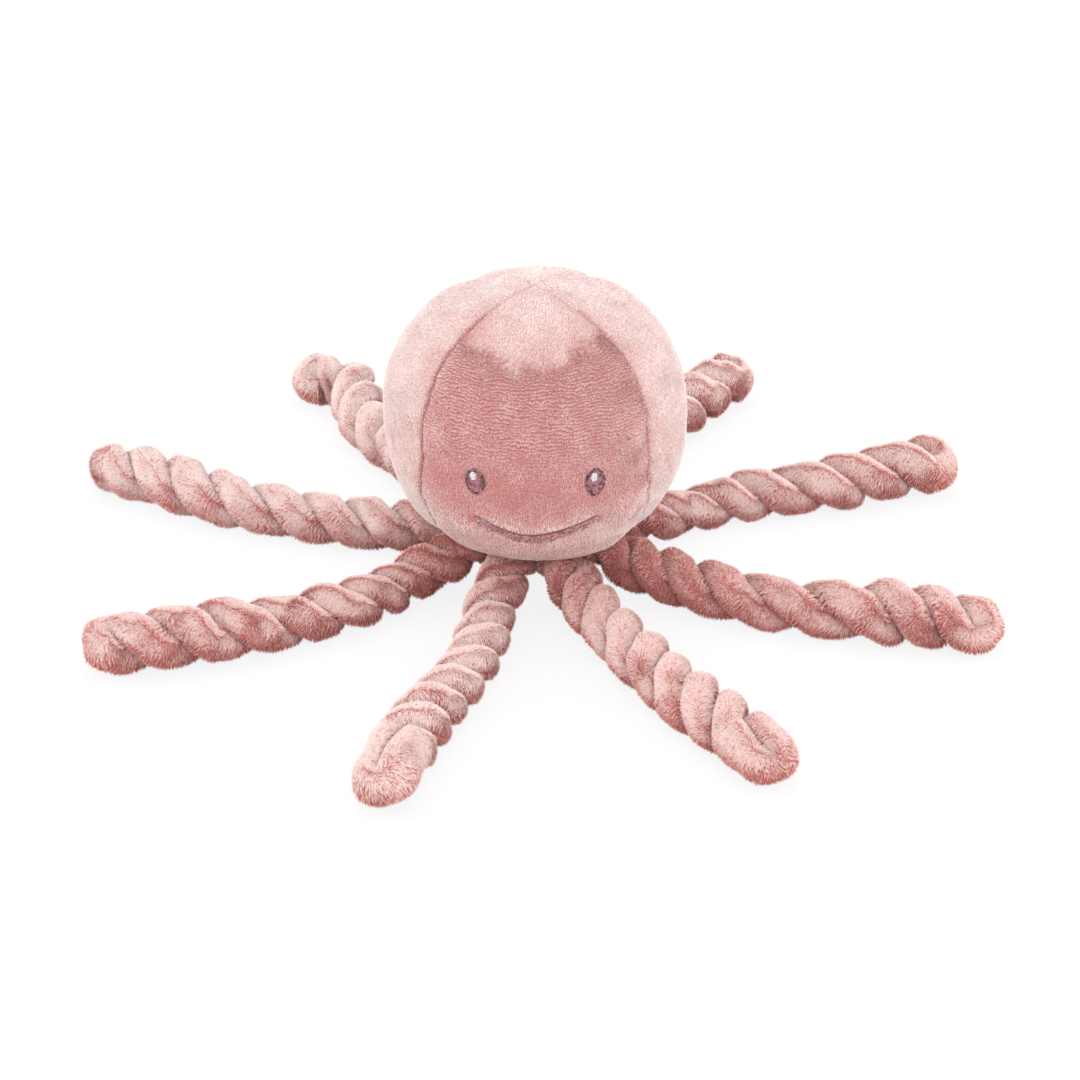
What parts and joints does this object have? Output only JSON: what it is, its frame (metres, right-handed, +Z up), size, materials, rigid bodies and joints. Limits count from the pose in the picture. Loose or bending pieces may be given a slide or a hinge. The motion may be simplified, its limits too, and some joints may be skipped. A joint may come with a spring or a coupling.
{
  "type": "plush octopus",
  "caption": "Soft toy octopus: a round stuffed head of sewn plush panels with an embroidered face, on a ring of twisted, stuffed rope tentacles that lie spread on the ground.",
  "frame": {"origin": "on the ground, in the middle of the footprint of the spread tentacles", "axes": "+Z up, -Y where the face looks, +X to the right of someone who looks at the face"},
  "size_m": [0.3278, 0.2983, 0.1112],
  "materials": {
    "plush_front": "short-pile velour, cut pile about 1 mm, pale sheen at the edges",
    "plush_right": "short-pile velour, cut pile about 1 mm, pale sheen at the edges",
    "plush_rear": "short-pile velour, cut pile about 1 mm, pale sheen at the edges",
    "plush_left": "short-pile velour, cut pile about 1 mm, pale sheen at the edges",
    "plush_base": "short-pile velour, cut pile under 1 mm",
    "polyester_fibre": "loose polyester fibre",
    "thread_dark_mauve_left": "dark mauve embroidery thread, chain stitch",
    "thread_mauve_left": "mauve embroidery thread, satin stitch",
    "thread_pale_left": "pale embroidery thread, satin stitch",
    "thread_dark_mauve_right": "dark mauve embroidery thread, chain stitch",
    "thread_mauve_right": "mauve embroidery thread, satin stitch",
    "thread_pale_right": "pale embroidery thread, satin stitch",
    "thread_smile": "mauve pink embroidery thread, laid in columns",
    "fleece_1": "coral fleece, soft tufts of 2 to 3 mm",
    "fleece_2": "coral fleece, soft tufts of 2 to 3 mm",
    "fleece_3": "coral fleece, soft tufts of 2 to 3 mm",
    "fleece_4": "coral fleece, soft tufts of 2 to 3 mm",
    "fleece_5": "coral fleece, soft tufts of 2 to 3 mm",
    "fleece_6": "coral fleece, soft tufts of 2 to 3 mm",
    "fleece_7": "coral fleece, soft tufts of 2 to 3 mm",
    "fleece_8": "coral fleece, soft tufts of 2 to 3 mm"
  },
  "bodies": {
    "head": {"head_panel_front": "plush_front", "head_panel_right": "plush_right", "head_panel_rear": "plush_rear", "head_panel_left": "plush_left", "head_base": "plush_base", "head_filling": "polyester_fibre", "eye_outline_left": "thread_dark_mauve_left", "eye_fill_left": "thread_mauve_left", "eye_highlight_left": "thread_pale_left", "eye_outline_right": "thread_dark_mauve_right", "eye_fill_right": "thread_mauve_right", "eye_highlight_right": "thread_pale_right", "mouth": "thread_smile"},
    "tentacle_1": {"tentacle_1": "fleece_1"},
    "tentacle_2": {"tentacle_2": "fleece_2"},
    "tentacle_3": {"tentacle_3": "fleece_3"},
    "tentacle_4": {"tentacle_4": "fleece_4"},
    "tentacle_5": {"tentacle_5": "fleece_5"},
    "tentacle_6": {"tentacle_6": "fleece_6"},
    "tentacle_7": {"tentacle_7": "fleece_7"},
    "tentacle_8": {"tentacle_8": "fleece_8"}
  },
  "joints": [
    {"name": "tentacle_1_bend", "type": "hinge", "parent": "head", "child": "tentacle_1", "pos_m": [0.02774, 0.01661, 0.019], "axis": [0.4067, -0.9135, 0], "range_deg": [-60, 8]},
    {"name": "tentacle_2_bend", "type": "hinge", "parent": "head", "child": "tentacle_2", "pos_m": [0.01331, 0.03031, 0.019], "axis": [0.9336, -0.3584, 0], "range_deg": [-60, 8]},
    {"name": "tentacle_3_bend", "type": "hinge", "parent": "head", "child": "tentacle_3", "pos_m": [-0.00658, 0.02979, 0.019], "axis": [0.9135, 0.4067, 0], "range_deg": [-60, 8]},
    {"name": "tentacle_4_bend", "type": "hinge", "parent": "head", "child": "tentacle_4", "pos_m": [-0.02028, 0.01536, 0.019], "axis": [0.3584, 0.9336, 0], "range_deg": [-60, 8]},
    {"name": "tentacle_5_bend", "type": "hinge", "parent": "head", "child": "tentacle_5", "pos_m": [-0.01976, -0.00454, 0.019], "axis": [-0.4067, 0.9135, 0], "range_deg": [-60, 8]},
    {"name": "tentacle_6_bend", "type": "hinge", "parent": "head", "child": "tentacle_6", "pos_m": [-0.00533, -0.01823, 0.019], "axis": [-0.9336, 0.3584, 0], "range_deg": [-60, 8]},
    {"name": "tentacle_7_bend", "type": "hinge", "parent": "head", "child": "tentacle_7", "pos_m": [0.01457, -0.01771, 0.019], "axis": [-0.9135, -0.4067, 0], "range_deg": [-60, 8]},
    {"name": "tentacle_8_bend", "type": "hinge", "parent": "head", "child": "tentacle_8", "pos_m": [0.02826, -0.00328, 0.019], "axis": [-0.3584, -0.9336, 0], "range_deg": [-60, 8]}
  ]
}
